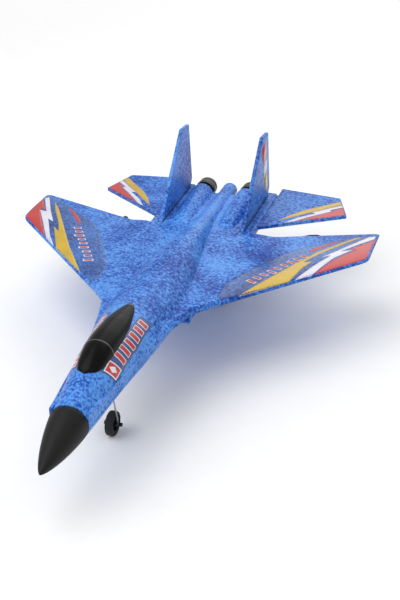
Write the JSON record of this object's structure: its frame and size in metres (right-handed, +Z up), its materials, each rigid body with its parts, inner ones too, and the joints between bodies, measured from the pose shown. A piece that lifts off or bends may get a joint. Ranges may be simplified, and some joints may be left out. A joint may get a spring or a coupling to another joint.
{
  "type": "foam jet glider",
  "caption": "Twin-motor pusher foam jet model aircraft with twin fins, black nose and canopy, spinning propellers and wheels, belly battery hatch and power switch.",
  "frame": {"origin": "on the floor under the middle of the model's length and span, with the tyres standing on it", "axes": "+X to port, -Y towards the nose, +Z up"},
  "size_m": [0.287, 0.4337, 0.1252],
  "materials": {
    "foam": "moulded bead foam, satin skin",
    "black_plastic": "moulded satin",
    "gloss_black": "thermoformed gloss",
    "nozzle_plastic": "moulded satin",
    "steel": "drawn wire and pressed cans",
    "battery_wrap": "shrink wrap",
    "hook_and_loop": "looped pile",
    "white_plastic": "moulded",
    "red_lead": "soft sleeve",
    "clear_plastic": "clear lens",
    "brass": "plated pin",
    "board_green": "solder mask",
    "black_rubber": "moulded tread"
  },
  "bodies": {
    "airframe": {"upper_foam": "foam", "lower_foam": "foam", "port_fin": "foam", "starboard_fin": "foam", "port_stabiliser": "foam", "starboard_stabiliser": "foam", "nose_cone": "black_plastic", "canopy": "gloss_black", "port_nozzle": "nozzle_plastic", "starboard_nozzle": "nozzle_plastic", "nose_ballast": "steel", "port_motor": "steel", "starboard_motor": "steel", "port_motor_cradle": "black_plastic", "starboard_motor_cradle": "black_plastic", "battery_bay": "black_plastic", "hatch_hinge_pin": "steel", "battery": "battery_wrap", "battery_pad": "hook_and_loop", "battery_plug": "white_plastic", "battery_lead": "red_lead", "control_deck": "black_plastic", "power_switch": "steel", "status_lamp": "clear_plastic", "charging_socket": "white_plastic", "socket_pins": "brass", "receiver_board": "board_green", "board_posts": "black_plastic", "deck_screws": "steel", "port_motor_lead": "red_lead", "starboard_motor_lead": "red_lead", "nose_wire": "steel", "nose_mount": "black_plastic", "nose_axle_caps": "black_plastic", "port_main_wire": "steel", "port_main_mount": "black_plastic", "port_main_axle_caps": "black_plastic", "starboard_main_wire": "steel", "starboard_main_mount": "black_plastic", "starboard_main_axle_caps": "black_plastic"},
    "nose_wheel_set": {"nose_wheel": "black_plastic", "nose_tyre": "black_rubber"},
    "port_main_wheel_set": {"port_main_wheel": "black_plastic", "port_main_tyre": "black_rubber"},
    "starboard_main_wheel_set": {"starboard_main_wheel": "black_plastic", "starboard_main_tyre": "black_rubber"},
    "port_prop_set": {"port_propeller": "black_plastic", "port_motor_shaft": "steel"},
    "starboard_prop_set": {"starboard_propeller": "black_plastic", "starboard_motor_shaft": "steel"},
    "hatch": {"battery_hatch": "black_plastic"},
    "slider": {"switch_slider": "black_plastic"}
  },
  "joints": [
    {"name": "nose_wheel_spin", "type": "hinge", "parent": "airframe", "child": "nose_wheel_set", "pos_m": [0, -0.09495, 0.009], "axis": [1, 0, 0], "continuous": true},
    {"name": "port_main_wheel_spin", "type": "hinge", "parent": "airframe", "child": "port_main_wheel_set", "pos_m": [0.02, 0.11595, 0.009], "axis": [1, 0, 0], "continuous": true},
    {"name": "starboard_main_wheel_spin", "type": "hinge", "parent": "airframe", "child": "starboard_main_wheel_set", "pos_m": [-0.02, 0.11595, 0.009], "axis": [1, 0, 0], "continuous": true},
    {"name": "port_prop_spin", "type": "hinge", "parent": "airframe", "child": "port_prop_set", "pos_m": [0.0728, 0.13435, 0.0547], "axis": [0, 1, 0], "continuous": true},
    {"name": "starboard_prop_spin", "type": "hinge", "parent": "airframe", "child": "starboard_prop_set", "pos_m": [-0.0728, 0.13435, 0.0547], "axis": [0, 1, 0], "continuous": true},
    {"name": "hatch_hinge", "type": "hinge", "parent": "airframe", "child": "hatch", "pos_m": [-0.0159, -0.06255, 0.0453], "axis": [0, 1, 0], "range_deg": [0, 95]},
    {"name": "switch_slide", "type": "slide", "parent": "airframe", "child": "slider", "axis": [0, 1, 0], "range_m": [0, 0.002]}
  ]
}
